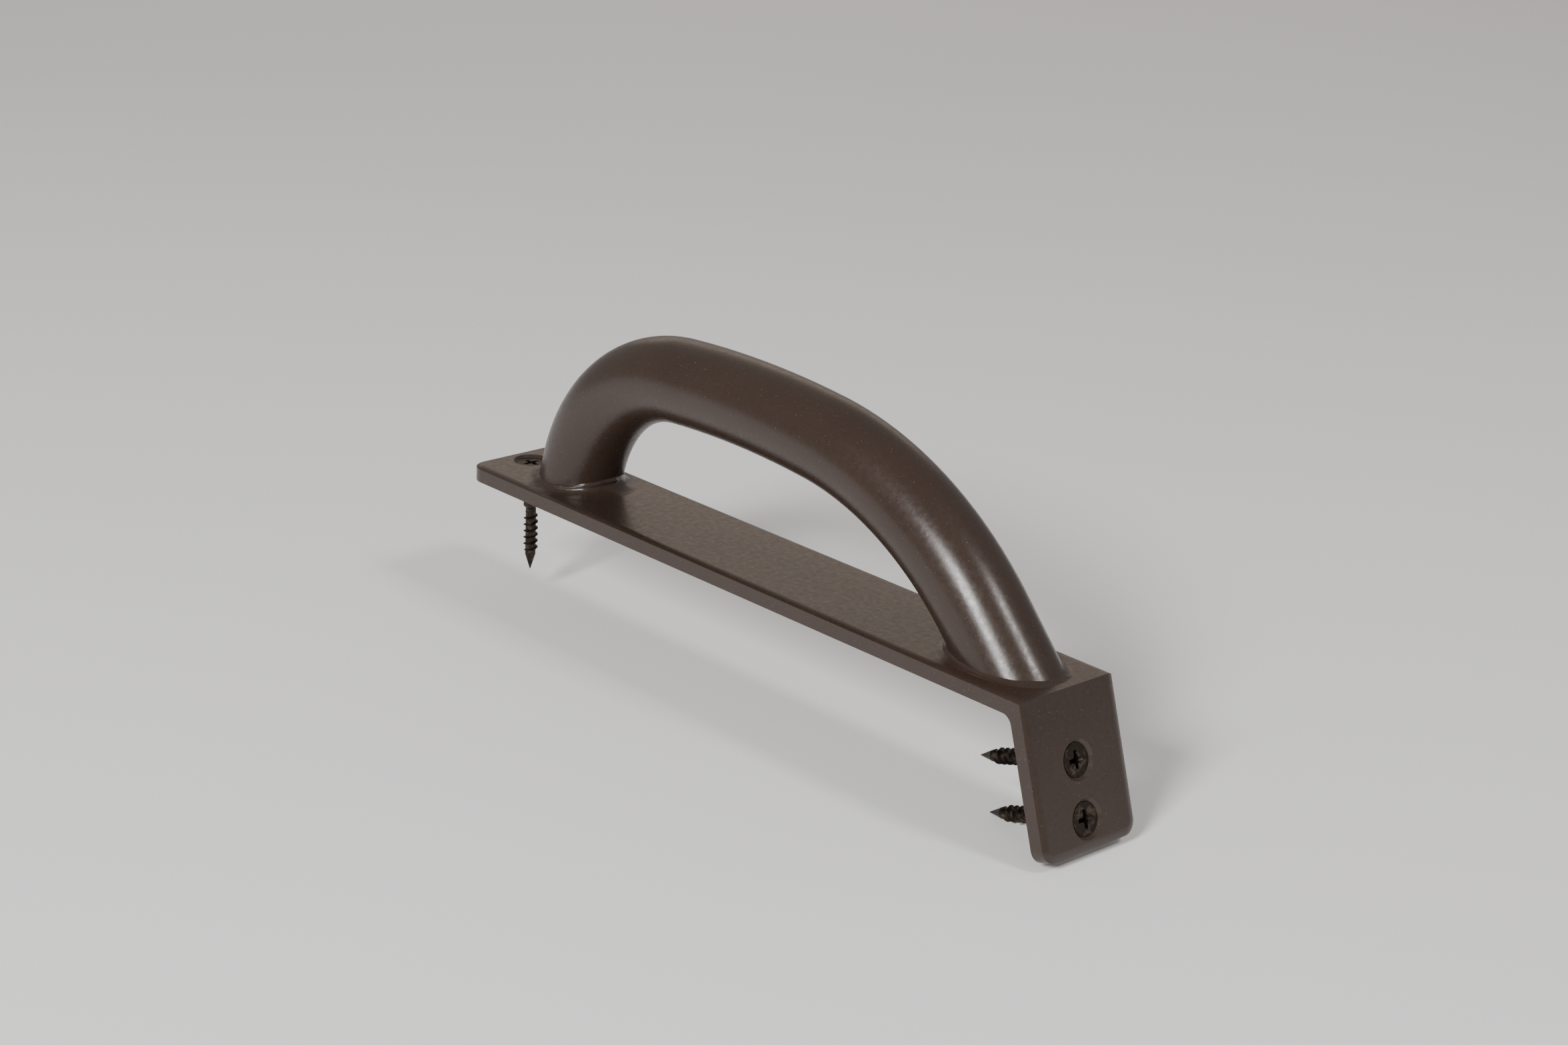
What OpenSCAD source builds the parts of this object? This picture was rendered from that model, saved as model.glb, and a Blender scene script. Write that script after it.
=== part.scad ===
// Grab handle for the front end of a furniture side rail.
// A bent round tube stands on an L-shaped bracket that is screwed over the
// top and the front end of the rail.
// Units are millimetres. The origin is on the underside of the top plate,
// half way along it and half way across it. +X runs to the front, +Z is up.

/* [Plates] */
// Overall length of the top plate, rear edge to front corner
top_plate_l = 200; // [185:1:240]
// Length of the end plate, measured down its front face
end_plate_l = 37; // [36:0.5:60]
// Width of both plates
plate_w = 30; // [28:0.5:40]
// Thickness of both plates
plate_t = 4; // [3.5:0.1:5]
// How far the end plate leans forward of square, in degrees
end_lean = 17.5; // [0:0.5:25]
// Corner radius at the rear end of the top plate
rear_corner_r = 5; // [3:0.5:8]
// Corner radius at the lower end of the end plate
lower_corner_r = 3.5; // [3:0.5:8]
// Width of the soft edge along the outer faces
soft_edge_w = 2; // [1:0.1:2.5]
// Drop of the soft edge at the side of the plate
soft_edge_drop = 0.5; // [0.2:0.1:0.8]

/* [Bow] */
// Outside diameter of the tube with its coating
tube_d = 21.5; // [18:0.1:23]
// Wall thickness of the tube
tube_wall = 2.6; // [1.5:0.1:3.5]
// Distance from the rear edge of the plate to the centre of the rear foot
rear_foot_setback = 28; // [26:0.5:34]
// Angle of the rear leg above the plate, in degrees
rear_leg_angle = 74; // [70:0.5:80]
// Straight length of the rear leg above the plate
rear_leg_l = 6; // [5:0.5:10]
// Centreline radius of the rear bend
rear_bend_r = 43.5; // [36:0.5:46]
// Angle turned by the rear bend, in degrees
rear_bend_turn = 70; // [66:0.5:72]
// Centreline radius of the shallow top curve
top_curve_r = 290; // [220:1:340]
// Angle turned by the top curve, in degrees
top_curve_turn = 10; // [8:0.5:12]
// Centreline radius of the front bend
front_bend_r = 87.5; // [82:0.5:92]
// Angle turned by the front bend, in degrees
front_bend_turn = 41.5; // [38:0.5:44]

/* [Welds] */
// How far the weld of either foot reaches sideways
weld_side_reach = 6; // [5:0.25:7]
// How far the weld of either foot climbs the sides of the leg
weld_side_climb = 2.2; // [1.5:0.1:5]
// How far the rear weld reaches towards the rear screw
rear_weld_back_reach = 4.5; // [3:0.25:5]
// How far the rear weld reaches into the hand gap
rear_weld_gap_reach = 6.5; // [4:0.25:8]
// How far the front weld reaches into the hand gap
front_weld_gap_reach = 5.5; // [4:0.25:8]
// How far the front weld reaches towards the front corner
front_weld_front_reach = 2.4; // [1.5:0.1:2.6]
// Radius of the weld inside the corner of the bracket
corner_weld_r = 3; // [2:0.25:4]
// Width of the touching land behind the outer corner
corner_land = 1.2; // [0.8:0.1:2]

/* [Screws] */
// Nominal screw diameter, over the shank and the thread
screw_d = 4; // [3.5:0.1:4.2]
// Head diameter
screw_head_d = 7.8; // [7.2:0.1:8.2]
// Overall screw length
screw_l = 30; // [25:1:40]
// Clearance hole through the plates
screw_hole_d = 4.8; // [4.8:0.1:5.4]
// Mouth diameter of the countersinks
countersink_d = 9.5; // [9:0.1:10]
// Distance from the rear edge to the rear screw
rear_screw_setback = 7.5; // [7:0.5:10]
// Distance from the front corner down to the upper end screw
upper_screw_drop = 16.5; // [14:0.5:20]
// Distance between the two end screws
end_screw_gap = 13.5; // [11:0.5:15]

/* [Hidden] */
$fn = 96;

// Clearance used where a cutter has to run past a face
over = 1;

// Bracket
corner_x = top_plate_l / 2;
rear_x = -top_plate_l / 2;
half_corner = (90 + end_lean) / 2;
soft_edge_r = (pow(soft_edge_w, 2) + pow(soft_edge_drop, 2)) / (2 * soft_edge_drop);
weld_run = corner_weld_r / tan(half_corner);
inner_corner = [-plate_t / tan(half_corner), -plate_t];
weld_root = -corner_land * [cos(half_corner), sin(half_corner)];
weld_toe_top = inner_corner - [weld_run, 0];
weld_toe_end = inner_corner + weld_run * [sin(end_lean), -cos(end_lean)];

// Bow: the centreline lies in the plane y = 0. It is a row of stations, each
// [along, up, heading], with the heading in degrees above +X. Each bend
// starts where the one before it stops.
tube_r = tube_d / 2;
bore_r = tube_r - tube_wall;
tube_sides = 48;
rear_bend_steps = 14;
top_curve_steps = 4;
front_bend_steps = 10;
rear_foot = [rear_x + rear_foot_setback, plate_t];
rear_leg_top = [
    rear_foot[0] + rear_leg_l * cos(rear_leg_angle),
    rear_foot[1] + rear_leg_l * sin(rear_leg_angle),
    rear_leg_angle
];
rear_bend = bend_stations(rear_leg_top, rear_bend_r, rear_bend_turn, rear_bend_steps);
top_curve = bend_stations(rear_bend[rear_bend_steps - 1], top_curve_r, top_curve_turn,
    top_curve_steps);
front_bend = bend_stations(top_curve[top_curve_steps - 1], front_bend_r, front_bend_turn,
    front_bend_steps);
front_leg_top = front_bend[front_bend_steps - 1];
front_leg_angle = -front_leg_top[2];
front_foot = [
    front_leg_top[0] + (front_leg_top[1] - plate_t) / tan(front_leg_angle),
    plate_t
];
bow_stations = concat(
    [[rear_foot[0], rear_foot[1], rear_leg_angle], rear_leg_top],
    rear_bend,
    top_curve,
    front_bend,
    [[front_foot[0], front_foot[1], -front_leg_angle]]
);
leg_stub = tube_d;

// Foot welds: reaches are [towards the rear, sideways, towards the front],
// along the plate and up the leg.
weld_climb_share = 0.75;
rear_weld_plate = [rear_weld_back_reach, weld_side_reach, rear_weld_gap_reach];
rear_weld_leg = [
    weld_climb_share * rear_weld_back_reach,
    weld_side_climb,
    weld_climb_share * rear_weld_gap_reach
];
front_weld_plate = [front_weld_gap_reach, weld_side_reach, front_weld_front_reach];
front_weld_leg = [
    weld_climb_share * front_weld_gap_reach,
    weld_side_climb,
    weld_climb_share * front_weld_front_reach
];
weld_bury = 0.15;
weld_sole = 0.8;
weld_rows = 7;
weld_columns = 60;

// Screws
screw_r = screw_d / 2;
head_r = screw_head_d / 2;
head_rim = 0.2;
head_sink = (countersink_d - screw_head_d) / 2 - head_rim;
neck_r = screw_r + 0.3;
neck_below_plate = 0.4;
neck_end = plate_t - head_sink + neck_below_plate;
shank_end = screw_l * 0.4;
root_r = screw_r * 0.7;
point_l = screw_l * 0.14;
tip_r = 0.1;
thread_pitch = 1.8;
thread_steps = 18;
ridge_foot = 1;
ridge_bury = 0.25;
ridge_gap = 0.1;
recess_r = head_r * 0.57;
recess_depth = head_r * 0.55;
recess_slot = head_r * 0.26;
recess_core_r = head_r * 0.27;

coat_colour = [0.35, 0.29, 0.26];
weld_colour = [0.33, 0.27, 0.24];
screw_colour = [0.22, 0.19, 0.16];

// ---- Bracket ----

// Turns a shape drawn as [along, up] into a solid across the full width.
module across(width) {
    translate([0, width / 2, 0])
        rotate([90, 0, 0])
            linear_extrude(width)
                children();
}

// Waste outside the soft edge of a plate, drawn with the sharp corner at
// the origin, the outer face along y = 0 and the side face along x = 0.
module soft_edge_waste() {
    difference() {
        translate([-soft_edge_w, -soft_edge_drop - over])
            square([soft_edge_w + over, soft_edge_drop + 2 * over]);
        translate([-soft_edge_w, -soft_edge_r])
            circle(soft_edge_r);
        translate([-soft_edge_w - over, -soft_edge_drop - 2 * over])
            square([soft_edge_w + over, over * 2]);
    }
}

// Waste outside one rounded corner, as a quarter ring about the corner's
// own centre, with the same soft edge along its rim.
module corner_waste(corner_r) {
    reach = corner_r * 0.6;
    rotate([0, 0, 90])
        rotate_extrude(angle = 90)
            union() {
                translate([corner_r, -plate_t - over])
                    square([reach, plate_t + 2 * over]);
                translate([corner_r, 0])
                    soft_edge_waste();
            }
}

// Countersunk clearance hole, its mouth in the plane z = 0.
module screw_hole() {
    hole_r = screw_hole_d / 2;
    mouth_r = countersink_d / 2;
    translate([0, 0, -plate_t - over])
        cylinder(r = hole_r, h = plate_t + 2 * over);
    translate([0, 0, hole_r - mouth_r])
        cylinder(r1 = hole_r, r2 = mouth_r, h = mouth_r - hole_r);
    cylinder(r = mouth_r, h = over);
}

// A plate with its outer face in the plane z = 0. The joint end is at x = 0
// and the free end points to -X. The joint end is cut back on the mitre, and
// behind the land it is bevelled to make room for the corner weld.
module plate_blank(length, corner_r, hole_places) {
    side = plate_w / 2;
    difference() {
        translate([-length, -side, -plate_t])
            cube([length, plate_w, plate_t]);
        for (flip = [0, 1])
            mirror([0, flip, 0]) {
                translate([over, side, 0])
                    rotate([90, 0, -90])
                        linear_extrude(length + 2 * over)
                            mirror([1, 0])
                                soft_edge_waste();
                translate([corner_r - length, side - corner_r, 0])
                    corner_waste(corner_r);
            }
        translate([-length, 0, 0])
            across(plate_w - 2 * corner_r)
                mirror([1, 0])
                    soft_edge_waste();
        across(plate_w + 2 * over)
            polygon([
                [0, 0],
                weld_root,
                weld_toe_top,
                weld_toe_top - [0, over],
                [over, -plate_t - over],
                [over, over],
                [0, over]
            ]);
        for (place = hole_places)
            translate([-place, 0, 0])
                screw_hole();
    }
}

module top_plate_body() {
    translate([corner_x, 0, plate_t])
        plate_blank(top_plate_l, rear_corner_r, [top_plate_l - rear_screw_setback]);
}

module top_plate() {
    color(coat_colour)
        top_plate_body();
}

// The end plate is the top plate's mirror image in the mitre plane.
module end_plate() {
    color(coat_colour)
        translate([corner_x, 0, plate_t])
            mirror([sin(half_corner), 0, -cos(half_corner)])
                plate_blank(end_plate_l, lower_corner_r,
                    [upper_screw_drop, upper_screw_drop + end_screw_gap]);
}

// Weld metal in the groove between the plates, with a hollow face.
module corner_weld() {
    color(weld_colour)
        translate([corner_x, 0, plate_t])
            across(plate_w)
                difference() {
                    polygon([weld_root, weld_toe_top, weld_toe_end]);
                    translate(weld_toe_top - [0, corner_weld_r])
                        circle(corner_weld_r);
                }
}

// ---- Bow ----

// The stations along one bend that turns clockwise, after its first one.
function bend_stations(start, bend_r, turn, steps) = [for (step = [1:steps])
    let (heading = start[2] - turn * step / steps)
    [
        start[0] + bend_r * (sin(start[2]) - sin(heading)),
        start[1] + bend_r * (cos(heading) - cos(start[2])),
        heading
    ]];

// One ring of points round a station. At a foot the points slide along the
// leg to the face of the plate, so the tube ends flat on it.
function bow_ring(station, ring_r, at_foot) = [for (side = [0:tube_sides - 1])
    let (bearing = side * 360 / tube_sides)
    let (along = [cos(station[2]), 0, sin(station[2])])
    let (point = [station[0], 0, station[1]]
        + ring_r * cos(bearing) * [-sin(station[2]), 0, cos(station[2])]
        + ring_r * [0, sin(bearing), 0])
    at_foot ? point + (plate_t - point[2]) / along[2] * along : point];

// The tube: a skin outside, a skin inside, and a flat rim at each foot.
module bow_tube() {
    last = len(bow_stations) - 1;
    inside = (last + 1) * tube_sides;
    outer = [for (i = [0:last]) each bow_ring(bow_stations[i], tube_r, i == 0 || i == last)];
    inner = [for (i = [0:last]) each bow_ring(bow_stations[i], bore_r, i == 0 || i == last)];
    skins = [for (i = [0:last - 1], side = [0:tube_sides - 1])
        let (here = i * tube_sides + side)
        let (beside = i * tube_sides + (side + 1) % tube_sides)
        each [
            [here, beside, beside + tube_sides, here + tube_sides],
            [
                inside + beside,
                inside + here,
                inside + here + tube_sides,
                inside + beside + tube_sides
            ]
        ]];
    rims = [for (side = [0:tube_sides - 1])
        let (beside = (side + 1) % tube_sides)
        let (end = last * tube_sides)
        each [
            [beside, side, inside + side, inside + beside],
            [end + side, end + beside, inside + end + beside, inside + end + side]
        ]];
    color(coat_colour)
        polyhedron(concat(outer, inner), concat(skins, rims), convexity = 10);
}

// A value that runs from `back` through `side` to `front` around a foot.
function around(bearing, reach) =
    let (ahead = max(0, cos(bearing)))
    let (behind = max(0, -cos(bearing)))
    reach[1] + (reach[2] - reach[1]) * pow(ahead, 2) + (reach[0] - reach[1]) * pow(behind, 2);

// One point of a weld's hollow face, at `bearing` around a leg that leans by
// `lean`. `share` runs from 0 at the toe on the plate to 1 at the toe on the
// leg, which lies a little below the leg's wall.
function weld_point(foot, lean, bearing, share, plate_reach, leg_reach) =
    let (axis = [cos(lean), 0, sin(lean)])
    let (out = [sin(lean) * cos(bearing), sin(bearing), -cos(lean) * cos(bearing)])
    let (root = [foot[0], 0, foot[1]] + tube_r * out
        + tube_r * cos(bearing) / tan(lean) * axis)
    let (flat = [sin(lean) * cos(bearing), sin(bearing), 0])
    let (plate_toe = root + around(bearing, plate_reach) * flat / norm(flat))
    let (leg_toe = root + around(bearing, leg_reach) * axis - weld_bury * out)
    pow(1 - share, 2) * plate_toe + 2 * share * (1 - share) * root + pow(share, 2) * leg_toe;

// A fillet weld around one foot, from its toes on the plate to its toes on
// the leg. It is cut to fit the leg and the plate, and it is ground flush
// with the plate's sides. Each reach is [towards the rear, sideways,
// towards the front].
module foot_weld(foot, lean, plate_reach, leg_reach) {
    side = plate_w / 2;
    last = weld_rows * weld_columns;
    rim = [for (column = [0:weld_columns - 1])
        let (toe = weld_point(foot, lean, column * 360 / weld_columns, 0, plate_reach, leg_reach))
        [toe[0], toe[1], toe[2] - weld_sole]];
    face = [for (row = [0:weld_rows - 1], column = [0:weld_columns - 1])
        weld_point(foot, lean, column * 360 / weld_columns, row / (weld_rows - 1),
            plate_reach, leg_reach)];
    sole_centre = [foot[0], 0, foot[1] - weld_sole];
    leg_centre = [foot[0], 0, foot[1]] + leg_reach[1] * [cos(lean), 0, sin(lean)];
    walls = [for (row = [0:weld_rows - 1], column = [0:weld_columns - 1])
        let (here = row * weld_columns + column)
        let (beside = row * weld_columns + (column + 1) % weld_columns)
        each [
            [here, here + weld_columns, beside],
            [beside, here + weld_columns, beside + weld_columns]
        ]];
    sole = [for (column = [0:weld_columns - 1])
        [column, (column + 1) % weld_columns, last + weld_columns]];
    top = [for (column = [0:weld_columns - 1])
        [last + (column + 1) % weld_columns, last + column, last + weld_columns + 1]];
    difference() {
        polyhedron(concat(rim, face, [sole_centre, leg_centre]), concat(walls, sole, top),
            convexity = 10);
        translate([foot[0], 0, foot[1]])
            rotate([0, 90 - lean, 0])
                cylinder(r = tube_r, h = 2 * leg_stub, center = true);
        top_plate_body();
        for (flip = [0, 1])
            mirror([0, flip, 0])
                translate([-top_plate_l, side, -over])
                    cube([2 * top_plate_l, plate_w, tube_d + plate_t]);
    }
}

module rear_foot_weld() {
    color(weld_colour)
        foot_weld(rear_foot, rear_leg_angle, rear_weld_plate, rear_weld_leg);
}

module front_foot_weld() {
    color(weld_colour)
        foot_weld(front_foot, 180 - front_leg_angle, front_weld_plate, front_weld_leg);
}

// ---- Screws ----

// Point number `step` of the thread ridge: 0 and 1 lie under the root,
// 2 is the crest. The ridge fades in at the top and out at the point.
function ridge_point(step, steps, top, corner) =
    let (turn = step * 360 / thread_steps)
    let (fade = min(1, step / thread_steps, (steps - step) / thread_steps))
    let (foot_r = root_r - ridge_bury)
    let (low_crest_r = root_r - ridge_bury / 2)
    let (z = top - step * thread_pitch / thread_steps)
    let (r = corner == 2 ? low_crest_r + fade * (screw_r - low_crest_r) : foot_r)
    let (lift = corner == 0 ? ridge_foot / 2 : corner == 1 ? -ridge_foot / 2 : 0)
    [r * cos(turn), -r * sin(turn), z + lift];

// The thread: a right-hand ridge wound round the root.
module thread_ridge(top, bottom) {
    steps = floor((top - bottom) / thread_pitch * thread_steps);
    points = [for (step = [0:steps], corner = [0:2])
        ridge_point(step, steps, top, corner)];
    walls = [for (step = [0:steps - 1], corner = [0:2])
        let (here = 3 * step + corner)
        let (beside = 3 * step + (corner + 1) % 3)
        each [[here, here + 3, beside], [beside, here + 3, beside + 3]]];
    polyhedron(points, concat([[0, 1, 2]], walls,
        [[3 * steps + 2, 3 * steps + 1, 3 * steps]]), convexity = 10);
}

// A cross recess: two slots that narrow towards a small core.
module recess() {
    intersection() {
        union() {
            for (turn = [0, 90])
                rotate([0, 0, turn])
                    translate([-recess_r, -recess_slot / 2, -recess_depth])
                        cube([2 * recess_r, recess_slot, recess_depth + over]);
            translate([0, 0, -recess_depth])
                cylinder(r = recess_core_r, h = recess_depth + over);
        }
        translate([0, 0, -recess_depth])
            cylinder(r1 = recess_core_r, r2 = recess_r * 1.3, h = recess_depth + over);
    }
}

// A countersunk wood screw, its head's face in the plane z = 0 and its
// point towards -Z.
module wood_screw() {
    point_top = point_l - screw_l;
    cone_end = head_r - neck_r + head_rim;
    step_l = screw_r - root_r;
    color(screw_colour)
        difference() {
            union() {
                translate([0, 0, -head_rim])
                    cylinder(r = head_r, h = head_rim);
                translate([0, 0, -cone_end])
                    cylinder(r1 = neck_r, r2 = head_r, h = cone_end - head_rim);
                translate([0, 0, -neck_end])
                    cylinder(r = neck_r, h = neck_end - cone_end);
                translate([0, 0, -shank_end])
                    cylinder(r = screw_r, h = shank_end - neck_end);
                translate([0, 0, -shank_end - step_l])
                    cylinder(r1 = root_r, r2 = screw_r, h = step_l);
                translate([0, 0, point_top])
                    cylinder(r = root_r, h = -point_top - shank_end - step_l);
                translate([0, 0, -screw_l])
                    cylinder(r1 = tip_r, r2 = root_r, h = point_l);
                thread_ridge(-shank_end - step_l - ridge_foot / 2 - ridge_gap, point_top);
            }
            recess();
        }
}

module rear_screw() {
    translate([rear_x + rear_screw_setback, 0, plate_t - head_sink])
        wood_screw();
}

// Puts a screw in the end plate, a given distance down from the corner.
module end_screw(drop) {
    translate([corner_x, 0, plate_t])
        rotate([0, 90 - end_lean, 0])
            translate([drop, 0, -head_sink])
                wood_screw();
}

module upper_end_screw() {
    end_screw(upper_screw_drop);
}

module lower_end_screw() {
    end_screw(upper_screw_drop + end_screw_gap);
}

bow_tube();
top_plate();
end_plate();
corner_weld();
rear_foot_weld();
front_foot_weld();
rear_screw();
upper_end_screw();
lower_end_screw();
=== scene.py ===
"""Studio scene of a coated steel grab handle: a bent tube welded on an angled bracket.

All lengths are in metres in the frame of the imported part: the origin is on the
underside of the top plate, half way along it, +X runs to the front, +Z is up.
"""

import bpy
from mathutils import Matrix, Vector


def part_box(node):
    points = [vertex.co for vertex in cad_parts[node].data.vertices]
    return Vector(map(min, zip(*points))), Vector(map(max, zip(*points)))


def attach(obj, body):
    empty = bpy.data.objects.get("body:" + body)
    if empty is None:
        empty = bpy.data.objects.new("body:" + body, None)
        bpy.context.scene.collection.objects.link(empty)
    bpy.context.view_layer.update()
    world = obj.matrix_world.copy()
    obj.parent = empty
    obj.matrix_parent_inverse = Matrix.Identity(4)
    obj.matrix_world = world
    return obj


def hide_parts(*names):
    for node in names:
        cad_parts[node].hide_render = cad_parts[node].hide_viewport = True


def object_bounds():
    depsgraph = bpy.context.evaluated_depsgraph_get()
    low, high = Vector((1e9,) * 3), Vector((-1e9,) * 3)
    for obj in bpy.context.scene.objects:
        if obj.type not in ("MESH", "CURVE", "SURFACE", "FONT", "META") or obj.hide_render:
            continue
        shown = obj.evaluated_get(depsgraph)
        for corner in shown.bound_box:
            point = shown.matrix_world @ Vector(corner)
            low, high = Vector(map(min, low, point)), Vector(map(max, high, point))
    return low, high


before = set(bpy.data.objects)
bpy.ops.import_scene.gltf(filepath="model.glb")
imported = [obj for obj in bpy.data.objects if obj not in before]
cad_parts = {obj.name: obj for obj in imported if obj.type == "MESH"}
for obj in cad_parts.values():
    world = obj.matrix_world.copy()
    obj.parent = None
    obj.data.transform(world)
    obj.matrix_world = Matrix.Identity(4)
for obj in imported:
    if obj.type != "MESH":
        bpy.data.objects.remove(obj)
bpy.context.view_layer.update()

import math

import bpy
from mathutils import Vector, noise

MM = 0.001
# The bow is built with a station at about every step of turn.
PATH_STEP = math.radians(1.0)
LEAST_STEPS = 8
BOW_COLUMNS = 96
# Edges that turn more than this, as the rims of the tube do, stay sharp.
RIM_ANGLE = math.radians(40)

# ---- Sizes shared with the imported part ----

PLATE_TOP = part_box("top_plate")[1].z
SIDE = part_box("top_plate")[1].y
REAR_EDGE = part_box("top_plate")[0].x
SOFT_EDGE_W = 2 * MM
SOFT_EDGE_R = 4.25 * MM

TUBE_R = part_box("bow_tube")[1].y
TUBE_WALL = 2.6 * MM
BORE_R = TUBE_R - TUBE_WALL
REAR_FOOT_X = REAR_EDGE + 28 * MM
REAR_LEG_ANGLE = math.radians(74)
REAR_LEG_L = 6 * MM
# Each bend is (centreline radius, angle turned).
BENDS = (
    (43.5 * MM, math.radians(70)),
    (290 * MM, math.radians(10)),
    (87.5 * MM, math.radians(41.5)),
)


# ---- Materials ----

BRONZE_DARK = (0.029, 0.017, 0.012)
BRONZE_LIGHT = (0.035, 0.021, 0.015)
BRONZE_GRAIN = (0.047, 0.031, 0.024, 1.0)
PALE_SPECK = (0.24, 0.19, 0.15, 1.0)
SCREW_BLACK = (0.030, 0.023, 0.018, 1.0)
SCREW_WORN = (0.12, 0.090, 0.066, 1.0)
PAPER_DARK = (0.93, 0.93, 0.93)
PAPER_LIGHT = (0.95, 0.95, 0.95)


class Nodes:
    """A short way to add and link the nodes of one material."""

    def __init__(self, name):
        self.material = bpy.data.materials.new(name)
        self.material.use_nodes = True
        self.tree = self.material.node_tree
        self.shader = self.tree.nodes["Principled BSDF"]
        self.place = self.tree.nodes.new("ShaderNodeTexCoord").outputs["Object"]

    def add(self, kind, **sockets):
        node = self.tree.nodes.new(kind)
        for name, value in sockets.items():
            self.feed(node.inputs[name.replace("_", " ")], value)
        return node

    def feed(self, socket, value):
        if isinstance(value, bpy.types.NodeSocket):
            self.tree.links.new(value, socket)
        else:
            socket.default_value = value

    def noise(self, size, detail=2.0, roughness=0.5):
        """Noise whose features are about `size` metres across."""
        node = self.add("ShaderNodeTexNoise", Vector=self.place, Scale=1 / size,
                        Detail=detail, Roughness=roughness)
        return node.outputs["Fac"]

    def ramp(self, value, *stops):
        """A colour ramp through (position, colour) stops."""
        node = self.add("ShaderNodeValToRGB", Fac=value)
        while len(node.color_ramp.elements) < len(stops):
            node.color_ramp.elements.new(0.5)
        for element, (position, colour) in zip(node.color_ramp.elements, stops):
            element.position = position
            element.color = (*colour, 1.0)
        return node.outputs["Color"]

    def spread(self, value, low, high, start=0.0, stop=1.0):
        """Maps a value from the range start..stop to low..high."""
        node = self.add("ShaderNodeMapRange", Value=value)
        node.inputs["From Min"].default_value = start
        node.inputs["From Max"].default_value = stop
        node.inputs["To Min"].default_value = low
        node.inputs["To Max"].default_value = high
        return node.outputs["Result"]

    def mix(self, factor, first, second):
        node = self.add("ShaderNodeMix")
        node.data_type = "RGBA"
        self.feed(node.inputs[0], factor)
        self.feed(node.inputs[6], first)
        self.feed(node.inputs[7], second)
        return node.outputs[2]

    def bump(self, height, distance, normal=None):
        node = self.add("ShaderNodeBump", Height=height, Distance=distance, Strength=1.0)
        if normal is not None:
            self.tree.links.new(normal, node.inputs["Normal"])
        return node.outputs["Normal"]


def coat_material(name, speck_share, peel_height):
    """Satin powder coat: fine orange peel, faint cloudiness and tiny pale specks."""
    n = Nodes(name)
    cloud = n.noise(22 * MM, detail=3.0)
    grain = n.noise(0.45 * MM, detail=3.0, roughness=0.65)
    base = n.ramp(cloud, (0.3, BRONZE_DARK), (0.7, BRONZE_LIGHT))
    toned = n.mix(n.spread(grain, 0.0, 0.4, 0.35, 0.75), base, BRONZE_GRAIN)
    speck = n.spread(n.noise(0.26 * MM, detail=0.0), 0.0, 0.7,
                     1 - speck_share, 1 - speck_share + 0.03)
    n.feed(n.shader.inputs["Base Color"], n.mix(speck, toned, PALE_SPECK))
    n.feed(n.shader.inputs["Roughness"], n.spread(n.noise(1.4 * MM), 0.25, 0.34, 0.3, 0.7))
    n.shader.inputs["Specular IOR Level"].default_value = 0.5
    peel = n.bump(n.noise(1.1 * MM, detail=1.5), peel_height)
    fine = n.bump(n.noise(0.35 * MM, detail=2.0, roughness=0.6), peel_height * 0.35, peel)
    n.feed(n.shader.inputs["Normal"], fine)
    return n.material


def screw_material(name):
    """Blackened steel, rubbed to a brownish metal in flecks."""
    n = Nodes(name)
    patch = n.noise(1.6 * MM, detail=3.0, roughness=0.6)
    worn = n.spread(patch, 0.0, 1.0, 0.50, 0.72)
    n.feed(n.shader.inputs["Base Color"], n.mix(worn, SCREW_BLACK, SCREW_WORN))
    n.feed(n.shader.inputs["Roughness"], n.spread(patch, 0.30, 0.52, 0.3, 0.7))
    n.shader.inputs["Metallic"].default_value = 0.85
    n.feed(n.shader.inputs["Normal"], n.bump(n.noise(0.5 * MM, detail=3.0), 0.03 * MM))
    return n.material


def floor_material():
    """Pale matt studio paper."""
    n = Nodes("floor_paper")
    shade = n.noise(300 * MM)
    n.feed(n.shader.inputs["Base Color"], n.ramp(shade, (0.3, PAPER_DARK), (0.7, PAPER_LIGHT)))
    n.feed(n.shader.inputs["Roughness"], n.spread(n.noise(20 * MM), 0.82, 0.92))
    return n.material


COAT = coat_material("powder_coat", speck_share=0.18, peel_height=0.015 * MM)
WELD_COAT = coat_material("powder_coat_on_weld", speck_share=0.18, peel_height=0.018 * MM)
SCREW = screw_material("blackened_screw_steel")


# ---- Mesh helpers ----

def make_piece(name, points, faces, material, slot, *replaced):
    """A smooth-shaded piece that stands for CAD nodes and rides on the bracket."""
    mesh = bpy.data.meshes.new(name)
    mesh.from_pydata([tuple(p) for p in points], [], faces)
    mesh.validate()
    mesh.shade_smooth()
    mesh.materials.append(material)
    piece = bpy.data.objects.new(name, mesh)
    bpy.context.collection.objects.link(piece)
    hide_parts(*replaced)
    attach(piece, "root")
    return piece


def ring_faces(rings, columns, first=0, flip=False):
    """Quads between neighbouring closed rings of `columns` points each."""
    faces = []
    for ring in range(rings - 1):
        for column in range(columns):
            here = first + ring * columns + column
            beside = first + ring * columns + (column + 1) % columns
            quad = (here, beside, beside + columns, here + columns)
            faces.append(quad[::-1] if flip else quad)
    return faces


# ---- Bow ----

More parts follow.
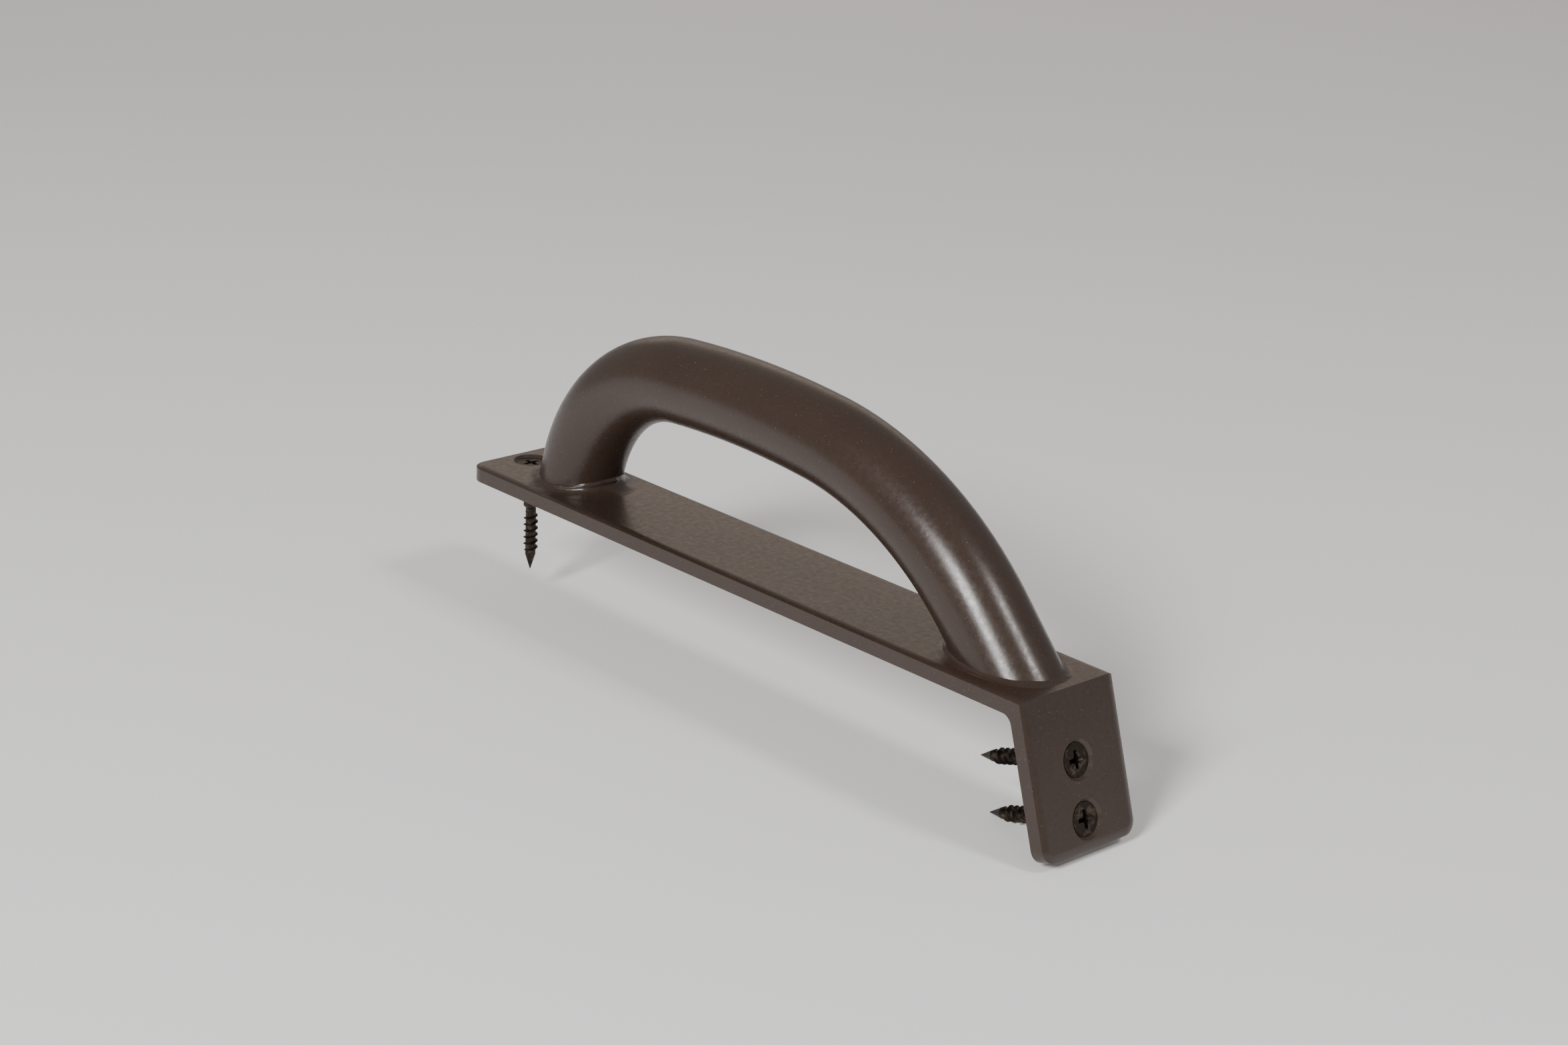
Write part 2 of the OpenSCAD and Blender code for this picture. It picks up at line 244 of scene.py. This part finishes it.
def bow_path():
    """The centreline as (point, heading) stations from the rear foot to the front foot."""
    heading = REAR_LEG_ANGLE
    point = Vector((REAR_FOOT_X, 0, PLATE_TOP))
    stations = [(point.copy(), heading)]
    point = point + REAR_LEG_L * Vector((math.cos(heading), 0, math.sin(heading)))
    stations.append((point.copy(), heading))
    for bend_r, turn in BENDS:
        steps = max(LEAST_STEPS, round(turn / PATH_STEP))
        start, start_heading = point.copy(), heading
        for step in range(1, steps + 1):
            heading = start_heading - turn * step / steps
            point = start + bend_r * Vector((
                math.sin(start_heading) - math.sin(heading),
                0,
                math.cos(heading) - math.cos(start_heading),
            ))
            stations.append((point.copy(), heading))
    drop = (point.z - PLATE_TOP) / -math.sin(heading)
    foot = point + drop * Vector((math.cos(heading), 0, math.sin(heading)))
    stations.append((foot, heading))
    return stations


def bow_ring(station, radius, columns, at_foot):
    """Points round one station. At a foot they slide along the leg to the plate."""
    point, heading = station
    along = Vector((math.cos(heading), 0, math.sin(heading)))
    outward = Vector((-math.sin(heading), 0, math.cos(heading)))
    ring = []
    for column in range(columns):
        bearing = 2 * math.pi * column / columns
        p = point + radius * (math.cos(bearing) * outward + Vector((0, math.sin(bearing), 0)))
        if at_foot:
            p += (PLATE_TOP - p.z) / along.z * along
        ring.append(p)
    return ring


def build_bow():
    """The tube: a skin outside, a skin inside, and a flat rim at each foot."""
    columns = BOW_COLUMNS
    stations = bow_path()
    last = len(stations) - 1
    points = []
    for radius in (TUBE_R, BORE_R):
        for i, station in enumerate(stations):
            points += bow_ring(station, radius, columns, i in (0, last))
    inside = (last + 1) * columns
    faces = ring_faces(last + 1, columns, 0, flip=True)
    faces += ring_faces(last + 1, columns, inside)
    end = last * columns
    for column in range(columns):
        beside = (column + 1) % columns
        faces.append((column, beside, inside + beside, inside + column))
        faces.append((end + beside, end + column, inside + end + column, inside + end + beside))
    bow = make_piece("bow_coated_tube", points, faces, COAT, "bow_coat", "bow_tube")
    bow.data.set_sharp_from_angle(angle=RIM_ANGLE)


# ---- Foot welds ----

def soft_edge_drop(y):
    """How far the top plate's outer face has fallen away at `y` across it."""
    past = min(abs(y) - (SIDE - SOFT_EDGE_W), SOFT_EDGE_W)
    return SOFT_EDGE_R - math.sqrt(SOFT_EDGE_R ** 2 - past ** 2) if past > 0 else 0.0


class FootWeld:
    """A ground fillet weld round one foot.

    `lean` is the leg's angle above +X. Reaches are (towards the rear, sideways,
    towards the front), along the plate and up the leg.
    """

    columns = 180
    rows = 26
    # The sole lies this deep in the plate, and both toes lie a little deep,
    # so that the weld comes out of the metal beside it at a shallow angle.
    sole_depth = 0.70 * MM
    toe_depth = 0.12 * MM
    side_gap = 0.05 * MM
    # The toes wander in and out by up to about this much.
    plate_toe_wander = 0.35 * MM
    leg_toe_wander = 0.5 * MM
    # Height of the face's swell, and (size, height) of its two sorts of lump.
    swell = 0.12 * MM
    coarse_lump = (3.2 * MM, 0.10 * MM)
    fine_lump = (1.1 * MM, 0.035 * MM)

    def __init__(self, foot_x, lean, plate_reach, leg_reach):
        self.foot = Vector((foot_x, 0, PLATE_TOP))
        self.seed = self.foot.x / (10 * MM)
        self.lean = lean
        self.plate_reach = plate_reach
        self.leg_reach = leg_reach
        self.axis = Vector((math.cos(lean), 0, math.sin(lean)))

    def reach(self, bearing, reach):
        ahead, behind = max(0.0, math.cos(bearing)), max(0.0, -math.cos(bearing))
        return reach[1] + (reach[2] - reach[1]) * ahead ** 2 + (reach[0] - reach[1]) * behind ** 2

    def out(self, bearing):
        return Vector((
            math.sin(self.lean) * math.cos(bearing),
            math.sin(bearing),
            -math.cos(self.lean) * math.cos(bearing),
        ))

    def point(self, bearing, share):
        out = self.out(bearing)
        root = (self.foot + TUBE_R * out
                + TUBE_R * math.cos(bearing) / math.tan(self.lean) * self.axis)
        flat = Vector((math.sin(self.lean) * math.cos(bearing), math.sin(bearing), 0)).normalized()
        wave = noise.noise(Vector((3 * math.cos(bearing), 3 * math.sin(bearing), self.seed)))
        plate_reach = self.reach(bearing, self.plate_reach) + self.plate_toe_wander * wave
        leg_reach = self.reach(bearing, self.leg_reach) + self.leg_toe_wander * wave
        plate_toe = root + plate_reach * flat
        leg_toe = root + leg_reach * self.axis
        leg_toe -= self.toe_depth * out
        plate_toe.z -= self.toe_depth
        p = (1 - share) ** 2 * plate_toe + 2 * share * (1 - share) * root + share ** 2 * leg_toe
        lift = (out + Vector((0, 0, 1))).normalized()
        p += self.relief(bearing, share, p) * lift
        p.z -= (1 - share) * soft_edge_drop(p.y)
        return p

    def relief(self, bearing, share, p):
        """Height of the lumps that the weld's surface keeps under its coating."""
        middle = math.sin(math.pi * share)
        lumps = [noise.noise(p / size) * height for size, height in (self.coarse_lump, self.fine_lump)]
        return middle * (lumps[0] + lumps[1] + self.swell)


def bell(value, centre, width):
    """A smooth bump of height 1 round `centre`."""
    return math.exp(-((value - centre) / width) ** 2)


class RearWeld(FootWeld):
    """The rear weld, with a raised crease near the leg on the near side of the hand gap."""

    # Bearings in degrees; the crease lies at one share of the way up the face.
    crease_start = -74
    crease_stop = 12
    crease_fade = 4
    crease_share = 0.80
    crease_height = 0.30 * MM
    blob_bearings = (-72, 8)

    def relief(self, bearing, share, p):
        turn = (math.degrees(bearing) + 180) % 360 - 180
        before_stop = 1 / (1 + math.exp((turn - self.crease_stop) / self.crease_fade))
        after_start = 1 / (1 + math.exp(-(turn - self.crease_start) / self.crease_fade))
        along = before_stop * after_start
        crease = self.crease_height * along * bell(share, self.crease_share, 0.07)
        blobs = sum(bell(turn, blob, 5) for blob in self.blob_bearings)
        ends = self.crease_height * blobs * bell(share, self.crease_share, 0.08)
        return super().relief(bearing, share, p) + crease + ends


class FrontWeld(FootWeld):
    """The front weld, with a flake in the acute corner and two grinding scars beside it."""

    flake_bearing = 205
    flake_height = 0.40 * MM
    scar_bearing = 276
    scar_depth = 0.22 * MM

    def relief(self, bearing, share, p):
        turn = math.degrees(bearing) % 360
        flake = self.flake_height * bell(turn, self.flake_bearing, 14) * bell(share, 0.55, 0.09)
        scar_pair = bell(share, 0.30, 0.045) + bell(share, 0.55, 0.04)
        scars = self.scar_depth * bell(turn, self.scar_bearing, 9) * scar_pair
        return super().relief(bearing, share, p) + flake - scars


def build_weld(name, weld, node):
    """One closed weld mesh, ground flush with the plate's sides."""
    columns, rows = weld.columns, weld.rows
    limit = SIDE - weld.side_gap
    points = []
    for column in range(columns):
        toe = weld.point(2 * math.pi * column / columns, 0)
        points.append(Vector((toe.x, toe.y, toe.z - weld.sole_depth)))
    for row in range(rows):
        for column in range(columns):
            points.append(weld.point(2 * math.pi * column / columns, row / (rows - 1)))
    for p in points:
        p.y = max(-limit, min(limit, p.y))
    faces = ring_faces(rows + 1, columns)
    sole = len(points)
    points.append(Vector((weld.foot.x, 0, PLATE_TOP - weld.sole_depth)))
    points.append(weld.foot + weld.leg_reach[1] * weld.axis)
    top = rows * columns
    for column in range(columns):
        beside = (column + 1) % columns
        faces.append((beside, column, sole))
        faces.append((top + column, top + beside, sole + 1))
    return make_piece(name, points, faces, WELD_COAT, "weld_coat", node)


def build_welds():
    """Both foot welds. Their reaches are (towards the rear, sideways, towards the front)."""
    front_point, front_heading = bow_path()[-1]
    rear = RearWeld(REAR_FOOT_X, REAR_LEG_ANGLE,
                    (4.5 * MM, 4.1 * MM, 6.5 * MM), (3.4 * MM, 2.2 * MM, 4.9 * MM))
    front = FrontWeld(front_point.x, math.pi + front_heading,
                      (5.5 * MM, 2.6 * MM, 1.8 * MM), (4.1 * MM, 1.6 * MM, 1.3 * MM))
    build_weld("weld_rear_foot", rear, "rear_foot_weld")
    build_weld("weld_front_foot", front, "front_foot_weld")


# ---- Plates, corner weld and screws ----

def coat_cad(node, material):
    """Gives a CAD node that keeps its own shape a procedural material."""
    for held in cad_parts[node].material_slots:
        held.link = "OBJECT"
        held.material = material


# ---- Stage ----

FLOOR_REACH = 6.0
AIM = Vector((0.03, 0, 0.03))
LIGHT_DISTANCE = 1.6
CAMERA_PLACE = (0.50201, -0.46414, 0.25688)
CAMERA_TURN = (70.398, -2.4266, 47.7471)
CAMERA_LENS = 68.69


def build_floor():
    """A flat sheet that the part's lowest point stands on."""
    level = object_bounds()[0].z
    corners = [(x * FLOOR_REACH, y * FLOOR_REACH, level)
               for x, y in ((-1, -1), (1, -1), (1, 1), (-1, 1))]
    mesh = bpy.data.meshes.new("floor")
    mesh.from_pydata(corners, [], [(0, 1, 2, 3)])
    mesh.materials.append(floor_material())
    floor = bpy.data.objects.new("floor", mesh)
    bpy.context.collection.objects.link(floor)


def area_light(name, azimuth, elevation, distance, size, watts, colour):
    """A soft box aimed at the handle. Azimuth 0 stands on the -Y side, 90 on the +X side."""
    light = bpy.data.lights.new(name, "AREA")
    light.shape = "RECTANGLE"
    light.size, light.size_y = size
    light.energy = watts
    light.color = colour
    lamp = bpy.data.objects.new(name, light)
    bpy.context.collection.objects.link(lamp)
    turn, lift = math.radians(azimuth), math.radians(elevation)
    away = Vector((math.sin(turn) * math.cos(lift), -math.cos(turn) * math.cos(lift),
                   math.sin(lift)))
    lamp.location = AIM + distance * away
    lamp.rotation_euler = (-away).to_track_quat("-Z", "Y").to_euler()


def build_lights():
    """Dim warm surroundings, two soft boxes for the streaks and a warm bounce behind."""
    world = bpy.data.worlds.new("studio")
    world.use_nodes = True
    background = world.node_tree.nodes["Background"]
    background.inputs["Color"].default_value = (1.0, 0.97, 0.94, 1.0)
    background.inputs["Strength"].default_value = 0.31
    bpy.context.scene.world = world
    area_light("key_softbox", 17, 31, LIGHT_DISTANCE, (0.36, 0.40), 27.0, (1.0, 0.99, 0.98))
    area_light("side_softbox", 100, 48, LIGHT_DISTANCE, (0.24, 0.28), 8.0, (1.0, 0.97, 0.96))
    area_light("seat_bounce", 227, 18, 1.4, (1.10, 0.36), 0.85, (1.0, 0.80, 0.62))


def build_camera():
    """The camera at the photo's angle."""
    data = bpy.data.cameras.new("camera")
    data.sensor_width = 36
    data.lens = CAMERA_LENS
    data.clip_start, data.clip_end = 0.01, 50
    camera = bpy.data.objects.new("camera", data)
    camera.location = CAMERA_PLACE
    camera.rotation_euler = [math.radians(angle) for angle in CAMERA_TURN]
    bpy.context.collection.objects.link(camera)
    bpy.context.scene.camera = camera


build_camera()
build_bow()
build_welds()
coat_cad("top_plate", COAT)
coat_cad("end_plate", COAT)
coat_cad("corner_weld", WELD_COAT)
for screw_node in ("rear_screw", "upper_end_screw", "lower_end_screw"):
    coat_cad(screw_node, SCREW)
build_floor()
build_lights()
